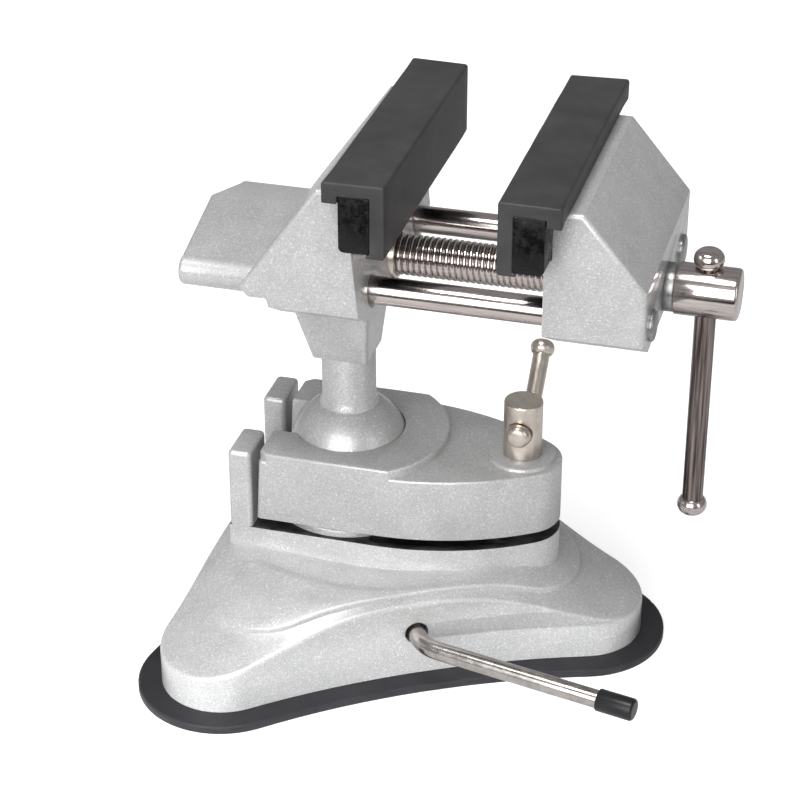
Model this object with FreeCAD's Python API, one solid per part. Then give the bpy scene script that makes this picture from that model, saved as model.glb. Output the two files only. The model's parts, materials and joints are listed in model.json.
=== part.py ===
"""Suction base vise: a ball-jointed bench vise on a lever-locked rubber suction foot.

Millimetres, +Z up.  The origin is the centre of the suction pad's underside.  The ball and its
stem stand towards -X, the clamp screw towards +X, and the jaws open along +X.
"""
import FreeCAD, Part
import os
from math import atan2, cos, degrees, pi, radians, sin, sqrt, tan

V = FreeCAD.Vector
UP = V(0, 0, 1)
ALONG_X = V(1, 0, 0)
ALONG_Y = V(0, 1, 0)

# ---------------------------------------------------------------- fits and clearances
running_gap = 0.05        # radial gap of a shaft that turns or slides in its bore
free_gap = 0.3            # gap between pieces that only pass each other
skin_gap = 0.3            # gap under the lift plate that lies on the soft pad
casting_edge = 1.4        # radius of the rounded edges of the die castings

# ---------------------------------------------------------------- foot: pad and base casting
lobes = 3
pad_lobe_distance = 63.1  # from the foot's centre to each lobe's centre
pad_lobe_radius = 25.35
pad_side_margin = 6.6     # the pad stands out this far from the middle of a side
pad_thickness = 2.4

foot_lobe_distance = 63.2
foot_lobe_radius = 18.3
foot_side_reach = 44.6    # from the foot's centre to the middle of a side
foot_wall = 3.0
foot_tip_height = 13.1    # top of the foot at the tip of a lobe
foot_slope_reach = 62.0   # a point on the slope between tip and side
foot_slope_height = 19.6
foot_side_height = 26.4   # top of the foot at the middle of a side
foot_crown_reach = 30.0   # inside this the top is almost level
foot_crown_height = 25.8
cavity_ceiling = 22.5     # flat roof of the hollow under the foot

step_lobe_distance = 40.0
step_lobe_radius = 22.0
step_side_setback = 3.1   # behind the foot's side
step_rise = 1.7           # the step's edge stands this far above the foot
step_crown_reach = 28.0   # inside this the step's top is level
step_crown_height = 27.2
step_edge = 0.9           # radius of the step's rounded edge

# ---------------------------------------------------------------- pedestal, ball and clamp plate
ball_x = -9.0             # the ball stands behind the foot's centre
ball_radius = 17.8
ball_height = 53.2
pedestal_half_width = 24.0
pedestal_back = 30.4      # behind the ball's axis
pedestal_under_ball = 18.7  # the pedestal's top lies this far below the ball's centre
pedestal_top = ball_height - pedestal_under_ball
pedestal_wall = 2.4       # wall round the sunk part of the pedestal's top
pocket_start = 12.0       # the sunk part begins this far in front of the ball's axis
socket_rim_radius = 22.5  # raised rim around the ball's cup
socket_rim_height = 2.5
socket_rim_width = 1.9
socket_floor_drop = 0.7   # the cup's floor lies this far below the rim
socket_mouth_gap = 0.45   # open seam round the ball at the top of the clamp plate
socket_mouth_depth = 1.2

ear_thickness = 7.0
ear_gap = 18.2            # space between the two ears, for the stem when it lies down
ear_over_ball = 6.6       # the ears end this far above the ball's centre
ear_top = ball_height + ear_over_ball

clamp_half_width = 23.8
clamp_back = 20.8         # behind the ball's axis, at the top
clamp_heel = 1.3          # the back leans out this much towards the bottom
clamp_straight = 14.0     # the parallel sides end this far in front of the ball's axis
clamp_screw_reach = 52.8  # from the ball's axis to the clamp screw
clamp_tip_radius = 11.8
clamp_under_ball = 15.2   # the plate's underside lies this far below the ball's centre
clamp_deck_over_ball = 4.5  # lower deck, towards the screw
clamp_crown_over_ball = 7.2  # raised crown around the ball
clamp_bottom = ball_height - clamp_under_ball
clamp_deck = ball_height + clamp_deck_over_ball
clamp_crown = ball_height + clamp_crown_over_ball
crown_radius = 30.0
clamp_slot = 19.2         # space between the two prongs
clamp_boss_radius = 9.5
clamp_boss_height = 1.3
plate_edge = 0.7          # radius of the plate's machined-looking top edges

clamp_thread_radius = 4.0
clamp_thread_length = 41.0
clamp_head_radius = 5.7
clamp_head_height = 17.5
clamp_bar_radius = 2.5
clamp_bar_drop = 8.6      # below the top of the screw's head
clamp_bar_front = 6.2     # from the screw's axis to the front knob's centre
clamp_bar_level = 11.5    # the bar runs level this far behind the axis
clamp_bar_arm = 18.3      # then this far along the raised arm
clamp_bar_raise = 45.0    # degrees
clamp_bar_bend = 6.0
clamp_knob_radius = 3.6
clamp_knob_face = 2.4
clamp_knob_length = 4.4

# ---------------------------------------------------------------- suction lever and lift stud
lever_bearing = -60.0     # degrees, the side of the foot that the lever comes out of
lever_height = 16.5
lever_radius = 2.65
lever_hole_gap = 0.85     # radial room around the lever where it leaves the foot's wall
lever_bend_room = 6.9     # from the foot's side to the corner of the bend
lever_bend_radius = 10.0
lever_bend = 48.0         # degrees
lever_arm = 64.6          # from the corner of the bend to the end
lever_inner_end = 8.6     # from the foot's centre to the shaft's inner end
eccentric = 1.2
crank_pin_radius = 1.3
crank_pin_length = 14.0
crank_slack = 0.4         # room around the crank pin in the stud's slot
lever_boss_radius = 6.0
grip_wall = 0.6
grip_tip = 1.3            # the cap's closed end
grip_length = 9.6
clip_radius = 5.4
clip_thickness = 1.0
clip_groove = 0.5

stud_plate_radius = 23.0
stud_plate_thickness = 2.2
stud_radius = 7.0
stud_top = 22.9
stud_guide_top = 27.2
stud_guide_wall = 3.5

# ---------------------------------------------------------------- stem
stem_radius = 8.0
stem_flare_width = 1.4
stem_flare_height = 2.4
stem_top = 86.0
spigot_radius = 6.0
spigot_cover = 10.5       # the spigot ends this far below the jaw's belly

# ---------------------------------------------------------------- jaws, measured from the stem's axis
jaw_width = 90.0
jaw_opening = 30.3        # as it stands; the pads close fully and open to max_opening
max_opening = 70.0
pad_face = 23.7           # front of the fixed jaw's rubber cover
cover_wall = 4.2
cover_roof = 3.9
cover_lip = 4.2
cover_skirt = 1.2         # the cover reaches this far below its plate
cover_foot = 1.0
plate_thickness = 8.5
plate_height = 16.2
plate_corner = 1.5

axis_height = 118.8       # axes of the lead screw and both guide rods
saddle_over_axis = 35.0   # top of both jaw castings
plate_rise = 2.3          # the plates stand out this far above the castings
belly_under_axis = 6.3    # underside of both jaw castings
belly_chamfer = 4.5
belly_chamfer_width = 7.0

fixed_half_width = 38.3
fixed_front = 14.7
fixed_front_lean = 2.6    # the front leans back this much up to the plate
fixed_crest = 2.6         # back edge of the fixed jaw's top
fixed_heel = -20.0        # lowest point of the sloping back
fixed_heel_over_axis = 3.2
fixed_keel = -12.0        # back end of the fixed jaw's underside
fixed_keel_over_axis = 0.7

tail_end = -41.0
tail_ridge_over_axis = 11.7
tail_root = 6.0            # the tail runs this far into the neck block
tail_eave_over_axis = 4.4
tail_half_width = 25.0
tail_bulge = 4.6

neck_block_bottom = (-8.8, 7.9, 8.4)     # back, front and half width at the stem's top
neck_block_top = (-16.0, 10.4, 15.0)     # the same under the jaw

moving_half_width = 34.9
moving_front_setback = 10.5              # casting's front behind its cover's face
moving_crest_length = 8.0                # level top behind the plate
moving_rear = 92.3
moving_shoulder_over_axis = 14.2         # top of the upright rear face
moving_toe = 3.0

# ---------------------------------------------------------------- guide rods, lead screw and handle
rod_radius = 4.0
rod_spacing = 47.4
rod_back_end = -40.0
rivet_radius = 4.6
rivet_height = 1.2

screw_radius = 6.1
screw_back_end = -38.0
nut_radius = 7.3
nut_length = 16.0
nut_reveal = 1.4                         # its front stands out of the casting
bore_mouth = 0.7                         # chamfer where the rods enter
washer_radius = 6.9
washer_thickness = 2.6
screw_clip_radius = 9.0
screw_clip_thickness = 1.2
screw_clip_recess = 2.6
screw_head_radius = 7.4
screw_head_length = 17.9
handle_radius = 3.0
handle_offset = 8.6                      # from the head's inner face to the handle
handle_length = 79.0                     # between the knobs' centres
handle_knob_radius = 4.3
handle_knob_face = 2.9                   # radius of a knob's flat ends
handle_knob_length = 5.0

plate_screw_spread = 50.0
plate_screw_radius = 2.0
plate_screw_head_radius = 3.9
plate_screw_length = 9.0

# ---------------------------------------------------------------- sizes that follow
pad_top = pad_thickness
pad_side_reach = foot_side_reach + pad_side_margin
step_side_reach = foot_side_reach - step_side_setback
lever_bend_reach = foot_side_reach + lever_bend_room
saddle_top = axis_height + saddle_over_axis
belly = axis_height - belly_under_axis
jaw_top = saddle_top + plate_rise + cover_roof
spigot_length = belly - stem_top - spigot_cover
saddle_x = pad_face - cover_wall - plate_thickness   # back of the fixed plate
plate_top = jaw_top - cover_roof
plate_bottom = plate_top - plate_height
mirror_x = pad_face + jaw_opening / 2                # plane midway between the two covers
moving_front = pad_face + jaw_opening + moving_front_setback
rod_y = rod_spacing / 2
clamp_screw_x = ball_x + clamp_screw_reach
screw_seat = moving_rear + washer_thickness
lever_out = V(cos(radians(lever_bearing)), sin(radians(lever_bearing)), 0)
lever_side = V(-lever_out.y, lever_out.x, 0)


# ---------------------------------------------------------------- drawing helpers
def closed_face(points):
    """A flat face inside a closed polygon."""
    return Part.Face(Part.makePolygon(points + [points[0]]))


def across(profile, half_width):
    """A closed profile of (x, z) points, extruded from -half_width to +half_width along Y."""
    points = [V(x, -half_width, z) for x, z in profile]
    return closed_face(points).extrude(V(0, 2 * half_width, 0))


def turned(profile, centre=V(0, 0, 0)):
    """A closed profile of (radius, z) points, turned about the vertical through centre."""
    points = [centre + V(r, 0, z) for r, z in profile]
    return closed_face(points).revolve(centre, UP, 360)


def rod(radius, start, end):
    """A round bar between two points."""
    return Part.makeCylinder(radius, (end - start).Length, start, end - start)


def tube_ring(outer, inner, start, end):
    """A plain washer or sleeve between two points."""
    return rod(outer, start, end).cut(rod(inner, start, end))


def box(x0, x1, y0, y1, z0, z1):
    return Part.makeBox(x1 - x0, y1 - y0, z1 - z0, V(x0, y0, z0))


def edges_where(shape, test):
    """The edges of a shape whose middle point passes a test."""
    picked = []
    for edge in shape.Edges:
        if edge.Length < 0.5:
            continue
        middle = edge.valueAt((edge.FirstParameter + edge.LastParameter) / 2)
        if test(middle, edge):
            picked.append(edge)
    return picked


def rounded(shape, radius, test):
    """The shape with the edges that pass a test rounded."""
    return shape.makeFillet(radius, edges_where(shape, test))


def lobed_face(distance, radius, side_reach, z):
    """A three-lobed outline: round lobes joined by long hollow or full sides, tangent to both."""
    # a side is an arc centred on the bisector: beyond the outline if hollow, within it if full
    side = distance * sin(pi / lobes)
    apex = side_reach - distance * cos(pi / lobes)
    side_radius = (side ** 2 + apex ** 2 - radius ** 2) / (2 * (radius - apex))
    centre = side_reach + side_radius
    facing = 1 if side_radius > 0 else -1
    turn = atan2(
        facing * centre * sin(pi / lobes), facing * (centre * cos(pi / lobes) - distance)
    )
    arcs = []
    for k in range(lobes):
        aim = 2 * pi * k / lobes
        hub = V(distance * cos(aim), distance * sin(aim), z)
        start, tip, end = [
            hub + V(radius * cos(aim + a), radius * sin(aim + a), 0) for a in (-turn, 0, turn)
        ]
        next_aim = aim + 2 * pi / lobes
        next_hub = V(distance * cos(next_aim), distance * sin(next_aim), z)
        next_start = next_hub + V(radius * cos(next_aim - turn), radius * sin(next_aim - turn), 0)
        middle_aim = aim + pi / lobes
        middle = V(side_reach * cos(middle_aim), side_reach * sin(middle_aim), z)
        arcs.append(Part.Arc(start, tip, end).toShape())
        arcs.append(Part.Arc(end, middle, next_start).toShape())
    return Part.Face(Part.Wire(arcs))


def dome(profile, floor):
    """A turned cover with a flowing top: profile runs from the crown out to beyond the rim."""
    points = [V(reach, 0, height) for reach, height in profile]
    curve = Part.BSplineCurve()
    curve.interpolate(Points=points)
    foot = V(0, 0, floor)
    corner = V(points[-1].x, 0, floor)
    sides = [
        Part.makeLine(points[-1], corner), Part.makeLine(corner, foot), Part.makeLine(foot, points[0])
    ]
    return Part.Face(Part.Wire([curve.toShape()] + sides)).revolve(V(0, 0, 0), UP, 360)


def teardrop_face(half_width, back, z, tip_radius=clamp_tip_radius):
    """Plan of the clamp plate and its pedestal: parallel sides drawn in to a round tip."""
    reach = clamp_screw_reach - clamp_straight
    sweep = (reach ** 2 + half_width ** 2 - tip_radius ** 2) / (2 * (half_width - tip_radius))
    lean = atan2(reach, sweep - half_width)
    tip = V(clamp_screw_x, 0, z)
    shoulder = V(ball_x + clamp_straight, 0, z)

    def side(sign):
        start = shoulder + V(0, sign * half_width, 0)
        middle = shoulder + V(
            sweep * sin(lean / 2), sign * (half_width - sweep + sweep * cos(lean / 2)), 0
        )
        end = tip + V(tip_radius * sin(lean), sign * tip_radius * cos(lean), 0)
        return start, middle, end

    right, left = side(-1), side(1)
    rear_right = V(ball_x - back, -half_width, z)
    rear_left = V(ball_x - back, half_width, z)
    nose = tip + V(tip_radius, 0, 0)
    return Part.Face(Part.Wire([
        Part.makeLine(rear_left, rear_right),
        Part.makeLine(rear_right, right[0]),
        Part.Arc(*right).toShape(),
        Part.Arc(right[2], nose, left[2]).toShape(),
        Part.Arc(left[2], left[1], left[0]).toShape(),
        Part.makeLine(left[0], rear_left),
    ]))


def bent_bar(radius, start, corner, end, bend_radius):
    """A round bar from start to end with one rounded bend near corner."""
    back = (start - corner).normalize()
    onward = (end - corner).normalize()
    half_angle = back.getAngle(onward) / 2
    setback = bend_radius / tan(half_angle)
    hub = corner + (back + onward).normalize() * (bend_radius / sin(half_angle))
    bend_start = corner + back * setback
    bend_end = corner + onward * setback
    section = Part.Face(Part.Wire([Part.makeCircle(radius, bend_start, back)]))
    turn = 180 - degrees(2 * half_angle)
    bend = section.revolve(hub, (bend_start - hub).cross(bend_end - hub), turn)
    bar = rod(radius, start, bend_start).fuse(bend).fuse(rod(radius, bend_end, end))
    return bar.removeSplitter()


def moved(shape, x=0.0, y=0.0, z=0.0):
    copy = shape.copy()
    copy.translate(V(x, y, z))
    return copy


def to_moving_side(shape):
    """The mirror image of a fixed-jaw piece, for the moving jaw."""
    return shape.mirror(V(mirror_x, 0, 0), ALONG_X)


# ---------------------------------------------------------------- foot
def make_suction_pad():
    sheet = lobed_face(pad_lobe_distance, pad_lobe_radius, pad_side_reach, 0)
    pad = sheet.extrude(V(0, 0, pad_thickness))
    rim = pad_thickness / 3
    return rounded(pad, rim, lambda m, e: m.z > pad_thickness - 0.1)


def lever_point(reach, up=0.0):
    """A point on the suction lever's axis, this far out from the foot's centre."""
    return lever_out * reach + V(0, 0, lever_height + up)


def foot_profile(drop=0.0):
    """Height of the foot's top over its distance from the centre."""
    tip = foot_lobe_distance + foot_lobe_radius
    beyond = 2 * tip - foot_slope_reach
    end_slope = 0.8 * (foot_slope_height - foot_tip_height) / (tip - foot_slope_reach)
    return [(reach, height - drop) for reach, height in (
        (0, foot_crown_height),
        (foot_crown_reach, foot_crown_height),
        (foot_side_reach, foot_side_height),
        (foot_slope_reach, foot_slope_height),
        (tip, foot_tip_height),
        (beyond, foot_tip_height - end_slope * (beyond - tip)),
    )]


def step_profile():
    """Height of the upper step's top: it follows the foot, and rises to the pedestal."""
    crown = [(0, step_crown_height), (step_crown_reach, step_crown_height)]
    return crown + foot_profile(-step_rise)[2:]


def make_foot_shell():
    plan = lobed_face(foot_lobe_distance, foot_lobe_radius, foot_side_reach, pad_top)
    lower = plan.extrude(V(0, 0, 2 * foot_side_height)).common(dome(foot_profile(), pad_top - 1))
    lower = rounded(lower, casting_edge, lambda m, e: m.z > foot_tip_height - 2)
    step_plan = lobed_face(step_lobe_distance, step_lobe_radius, step_side_reach, pad_top)
    step = step_plan.extrude(V(0, 0, 2 * foot_side_height)).common(dome(step_profile(), pad_top - 1))
    step = rounded(step, step_edge, lambda m, e: m.z > foot_tip_height)
    hollow_plan = lobed_face(
        foot_lobe_distance, foot_lobe_radius - foot_wall, foot_side_reach - foot_wall, pad_top
    )
    roof = dome(foot_profile(foot_wall), pad_top - 1)
    hollow = hollow_plan.extrude(V(0, 0, cavity_ceiling - pad_top)).common(roof)
    return lower, step, hollow


def make_pedestal_pocket():
    """The sunk part of the pedestal's top, between the ball's seat and the clamp screw's boss."""
    half_width = pedestal_half_width - pedestal_wall
    tip_radius = clamp_tip_radius - pedestal_wall
    plan = teardrop_face(half_width, -pocket_start, step_crown_height, tip_radius)
    pocket = plan.extrude(UP * (pedestal_top + 1 - step_crown_height))
    for x, radius in ((ball_x, socket_rim_radius), (clamp_screw_x, clamp_tip_radius)):
        pocket = pocket.cut(rod(radius, V(x, 0, pad_top), V(x, 0, pedestal_top + 2)))
    return pocket


def make_pedestal():
    plan = teardrop_face(pedestal_half_width, pedestal_back, pad_top + 1)
    column = plan.extrude(V(0, 0, pedestal_top - pad_top - 1)).cut(make_pedestal_pocket())
    rear = ball_x - pedestal_back
    ear_width = pedestal_half_width - ear_gap / 2
    for side in (-1, 1):
        inner = side * ear_gap / 2
        outer = side * pedestal_half_width
        low, high = min(inner, outer), max(inner, outer)
        ear = box(rear, rear + ear_thickness, low, high, pedestal_top - 1, ear_top)
        ear = rounded(ear, casting_edge, lambda m, e: m.z > pedestal_top + ear_width / 2)
        column = column.fuse(ear)
    rim_top = pedestal_top + socket_rim_height
    axis = V(ball_x, 0, 0)
    rim = rod(socket_rim_radius, axis + V(0, 0, pedestal_top - 1), axis + V(0, 0, rim_top))
    rim = rounded(rim, socket_rim_height / 3, lambda m, e: m.z > rim_top - 0.1)
    rim = rim.cut(rod(
        socket_rim_radius - socket_rim_width,
        axis + V(0, 0, rim_top - socket_floor_drop), axis + V(0, 0, rim_top + 1),
    ))
    return column.fuse(rim).removeSplitter()


def make_base_casting():
    lower, step, hollow = make_foot_shell()
    body = lower.fuse(step).removeSplitter()
    pedestal = make_pedestal()
    body = body.fuse(pedestal).cut(hollow)
    boss_inner = stud_radius + stud_guide_wall
    boss_outer = clip_position() - free_gap
    boss = rod(lever_boss_radius, lever_point(boss_inner), lever_point(boss_outer))
    web = box(boss_inner, boss_outer, -foot_wall, foot_wall, lever_height, cavity_ceiling + 1)
    web.rotate(V(0, 0, 0), UP, lever_bearing)
    guide_boss = rod(
        stud_radius + stud_guide_wall,
        V(0, 0, lever_height + eccentric + crank_pin_radius + free_gap), V(0, 0, cavity_ceiling + 1),
    )
    body = body.fuse(boss).fuse(web).fuse(guide_boss)
    body = body.cut(rod(lever_radius + running_gap, lever_point(0), lever_point(lever_bend_reach)))
    wall_hole = rod(
        lever_radius + lever_hole_gap,
        lever_point(foot_side_reach - foot_wall - 1),
        lever_point(lever_bend_reach),
    )
    body = body.cut(wall_hole)
    guide = rod(stud_radius + running_gap, V(0, 0, pad_top), V(0, 0, stud_guide_top))
    cup = Part.makeSphere(ball_radius + running_gap, V(ball_x, 0, ball_height))
    thread = rod(
        clamp_thread_radius + running_gap,
        V(clamp_screw_x, 0, pad_top),
        V(clamp_screw_x, 0, pedestal_top + 1),
    )
    body = body.cut(guide).cut(cup).cut(thread)
    return body.removeSplitter()


def make_lift_stud():
    floor = pad_top + skin_gap
    plate = rod(stud_plate_radius, V(0, 0, floor), V(0, 0, floor + stud_plate_thickness))
    stud = rod(stud_radius, V(0, 0, floor), V(0, 0, stud_top))
    half_height = crank_pin_radius + crank_slack
    half_width = half_height + eccentric
    slot_centre = lever_height - eccentric
    slot = box(
        -2 * stud_radius, 2 * stud_radius, -half_width, half_width,
        slot_centre - half_height, slot_centre + half_height,
    )
    slot.rotate(V(0, 0, 0), UP, lever_bearing)
    return plate.fuse(stud).cut(slot).removeSplitter()


def lever_arm_direction():
    turn = radians(lever_bend)
    return lever_out * cos(turn) + lever_side * sin(turn)


def lever_end():
    return lever_point(lever_bend_reach) + lever_arm_direction() * lever_arm


def make_suction_lever():
    inner = lever_point(lever_inner_end)
    corner = lever_point(lever_bend_reach)
    shaft = bent_bar(lever_radius, inner, corner, lever_end(), lever_bend_radius)
    groove_at = clip_position()
    groove = tube_ring(
        lever_radius + 1, lever_radius - clip_groove,
        lever_point(groove_at), lever_point(groove_at + clip_thickness),
    )
    pin_start = inner + lever_out * 1.0 - UP * eccentric
    pin = rod(crank_pin_radius, pin_start, pin_start - lever_out * (crank_pin_length + 1.0))
    return shaft.cut(groove).fuse(pin).removeSplitter()


def clip_position():
    """Reach of the lever's clip, just inside the foot's wall."""
    return foot_side_reach - foot_wall - clip_thickness - free_gap - 1


def make_lever_clip():
    start = clip_position()
    return tube_ring(
        clip_radius, lever_radius - clip_groove,
        lever_point(start), lever_point(start + clip_thickness),
    )


def make_lever_grip():
    aim = lever_arm_direction()
    end = lever_end()
    outer = rod(lever_radius + grip_wall, end - aim * grip_length, end + aim * grip_tip)
    outer = rounded(outer, grip_tip * 0.7, lambda m, e: abs((m - end).dot(aim) - grip_tip) < 0.1)
    return outer.cut(rod(lever_radius, end - aim * (grip_length + 1), end))


# ---------------------------------------------------------------- clamp
def make_clamp_plate():
    body = teardrop_face(clamp_half_width, clamp_back + clamp_heel, clamp_bottom).extrude(
        V(0, 0, clamp_deck - clamp_bottom)
    )
    crown_blank = teardrop_face(clamp_half_width, clamp_back + clamp_heel, clamp_deck).extrude(
        V(0, 0, clamp_crown - clamp_deck)
    )
    crown = crown_blank.common(
        rod(crown_radius, V(ball_x, 0, clamp_deck), V(ball_x, 0, clamp_crown))
    )
    rear = ball_x - clamp_back - clamp_heel
    lean = across([
        (rear, clamp_bottom),
        (rear + clamp_heel, clamp_crown + 1),
        (rear - 1, clamp_crown + 1),
        (rear - 1, clamp_bottom),
    ], clamp_half_width + 1)
    body = body.fuse(crown).removeSplitter().cut(lean)
    body = rounded(
        body, casting_edge,
        lambda m, e: m.x < rear + clamp_heel and abs(m.y) > clamp_half_width - 0.1,
    )
    body = rounded(body, plate_edge, lambda m, e: m.z > clamp_crown - 0.1)
    body = rounded(
        body, plate_edge,
        lambda m, e: abs(m.z - clamp_deck) < 0.1 and sqrt((m.x - ball_x) ** 2 + m.y ** 2) > crown_radius + 1,
    )
    boss = turned([
        (0, clamp_deck - 1),
        (clamp_boss_radius + 1, clamp_deck - 1),
        (clamp_boss_radius + 1, clamp_deck),
        (clamp_boss_radius - 1, clamp_deck + clamp_boss_height),
        (0, clamp_deck + clamp_boss_height),
    ], V(clamp_screw_x, 0, 0))
    body = body.fuse(boss)
    axis = V(ball_x, 0, 0)
    seat = Part.makeSphere(ball_radius + running_gap, axis + V(0, 0, ball_height))
    entry = rod(ball_radius + free_gap, axis + V(0, 0, clamp_bottom), axis + V(0, 0, ball_height))
    slot = box(rear - 1, ball_x, -clamp_slot / 2, clamp_slot / 2, clamp_bottom, clamp_crown + 1)
    slot_corners = slot.cut(rod(1, V(rear, 0, 0), V(rear, 0, 1)))
    passage = rod(
        clamp_thread_radius + free_gap,
        V(clamp_screw_x, 0, clamp_bottom),
        V(clamp_screw_x, 0, clamp_crown),
    )
    mouth_radius = sqrt(ball_radius ** 2 - (clamp_crown - ball_height) ** 2) + socket_mouth_gap
    mouth = rod(
        mouth_radius,
        axis + V(0, 0, clamp_crown - socket_mouth_depth), axis + V(0, 0, clamp_crown + 1),
    )
    body = body.cut(seat).cut(entry).cut(mouth)
    return body.cut(slot_corners).cut(passage).removeSplitter()


def clamp_screw_seat():
    return clamp_deck + clamp_boss_height


def clamp_bar_height():
    return clamp_screw_seat() + clamp_head_height - clamp_bar_drop


def make_clamp_screw():
    seat = clamp_screw_seat()
    axis = V(clamp_screw_x, 0, 0)
    head = rod(clamp_head_radius, axis + V(0, 0, seat), axis + V(0, 0, seat + clamp_head_height))
    head = rounded(head, 0.6, lambda m, e: m.z > seat + clamp_head_height - 0.1)
    thread = rod(clamp_thread_radius, axis + V(0, 0, seat - clamp_thread_length), axis + V(0, 0, seat))
    height = clamp_bar_height()
    hole = rod(
        clamp_bar_radius + running_gap,
        axis + V(0, -20, height), axis + V(0, 20, height),
    )
    mouth_radius = clamp_knob_radius + free_gap
    mouth = rod(
        mouth_radius,
        axis + V(0, -clamp_head_radius - 5, height),
        axis + V(0, -clamp_bar_front + clamp_knob_length / 2 + free_gap, height),
    )
    return head.fuse(thread).cut(hole).cut(mouth).removeSplitter()


def clamp_bar_points():
    height = clamp_bar_height()
    front = V(clamp_screw_x, -clamp_bar_front, height)
    corner = V(clamp_screw_x, clamp_bar_level, height)
    arm = V(0, cos(radians(clamp_bar_raise)), sin(radians(clamp_bar_raise)))
    return front, corner, arm, corner + arm * clamp_bar_arm


def make_clamp_bar():
    front, corner, arm, end = clamp_bar_points()
    return bent_bar(clamp_bar_radius, front, corner, end, clamp_bar_bend)


def knob(centre, aim, radius, face, length, bore):
    """A flattened, bellied knob, bored to sit on the end of a bar."""
    across_aim = aim.cross(ALONG_X).normalize()
    low = centre - aim * (length / 2)
    high = centre + aim * (length / 2)
    belly_arc = Part.Arc(
        low + across_aim * face, centre + across_aim * radius, high + across_aim * face
    )
    section = Part.Face(Part.Wire([
        Part.makeLine(low, low + across_aim * face),
        belly_arc.toShape(),
        Part.makeLine(high + across_aim * face, high),
        Part.makeLine(high, low),
    ]))
    body = section.revolve(centre, aim, 360)
    return body.cut(rod(bore, centre - aim * length, centre))


def make_clamp_bar_knobs():
    front, corner, arm, end = clamp_bar_points()
    near = knob(
        front, ALONG_Y * -1, clamp_knob_radius, clamp_knob_face, clamp_knob_length, clamp_bar_radius
    )
    far = knob(end, arm, clamp_knob_radius, clamp_knob_face, clamp_knob_length, clamp_bar_radius)
    return Part.makeCompound([near, far])


# ---------------------------------------------------------------- ball and stem
def make_ball():
    return Part.makeSphere(ball_radius, V(ball_x, 0, ball_height))


def make_stem():
    axis = V(ball_x, 0, 0)
    shank = rod(stem_radius, axis + V(0, 0, ball_height), axis + V(0, 0, stem_top))
    spigot = rod(
        spigot_radius, axis + V(0, 0, stem_top - 1), axis + V(0, 0, stem_top + spigot_length)
    )
    flare_height = ball_height + sqrt((ball_radius + running_gap) ** 2 - stem_radius ** 2)
    flare = turned([
        (0, flare_height - stem_flare_width),
        (stem_radius + stem_flare_width, flare_height - stem_flare_width),
        (stem_radius, flare_height + stem_flare_height),
        (0, flare_height + stem_flare_height),
    ], axis)
    hollow = Part.makeSphere(ball_radius + running_gap, axis + V(0, 0, ball_height))
    return shank.fuse(spigot).fuse(flare).cut(hollow).removeSplitter()


# ---------------------------------------------------------------- jaw castings
def with_belly_chamfers(body, half_width, x0, x1):
    """Take the two long lower edges off a jaw casting."""
    for side in (-1, 1):
        edge = [
            V(x0, side * (half_width + 1), belly - 1),
            V(x0, side * (half_width - belly_chamfer_width), belly - 1),
            V(x0, side * (half_width - belly_chamfer_width), belly),
            V(x0, side * half_width, belly + belly_chamfer),
            V(x0, side * (half_width + 1), belly + belly_chamfer),
        ]
        body = body.cut(closed_face(edge).extrude(V(x1 - x0, 0, 0)))
    return body


def make_tail():
    """Roofed block behind the fixed jaw that the rods and the screw run back into."""
    eave = tail_half_width
    eave_height = axis_height + tail_eave_over_axis
    floor = axis_height - tail_eave_over_axis
    x = tail_end

    def cheek(side):
        top = V(x, side * eave, eave_height)
        bulge = V(x, side * (eave + tail_bulge), axis_height)
        low = V(x, side * eave, floor)
        return top, bulge, low

    near, far = cheek(-1), cheek(1)
    ridge = V(x, 0, axis_height + tail_ridge_over_axis)
    outline = Part.Wire([
        Part.makeLine(ridge, near[0]),
        Part.Arc(*near).toShape(),
        Part.makeLine(near[2], far[2]),
        Part.Arc(far[2], far[1], far[0]).toShape(),
        Part.makeLine(far[0], ridge),
    ])
    tail = Part.Face(outline).extrude(V(fixed_keel + tail_root - tail_end, 0, 0))
    return rounded(tail, casting_edge, lambda m, e: m.x < tail_end + 0.1)


def make_neck_block():
    """Tapered block between the fixed jaw and the stem."""
    wires = []
    for (back, front, half), z in ((neck_block_bottom, stem_top), (neck_block_top, belly + 2)):
        wires.append(Part.makePolygon([
            V(back, -half, z), V(front, -half, z), V(front, half, z), V(back, half, z),
            V(back, -half, z),
        ]))
    block = Part.makeLoft(wires, True, True)
    return rounded(block, casting_edge, lambda m, e: stem_top + 1 < m.z < belly)


def plate_screw_axis(side):
    height = (plate_top + plate_bottom) / 2
    return V(saddle_x, side * plate_screw_spread / 2, height)


def fixed_front_at(height):
    """Where the fixed jaw's leaning front is, at a height between its belly and its plate."""
    return fixed_front - fixed_front_lean * (height - belly) / (plate_bottom - belly)


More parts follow.
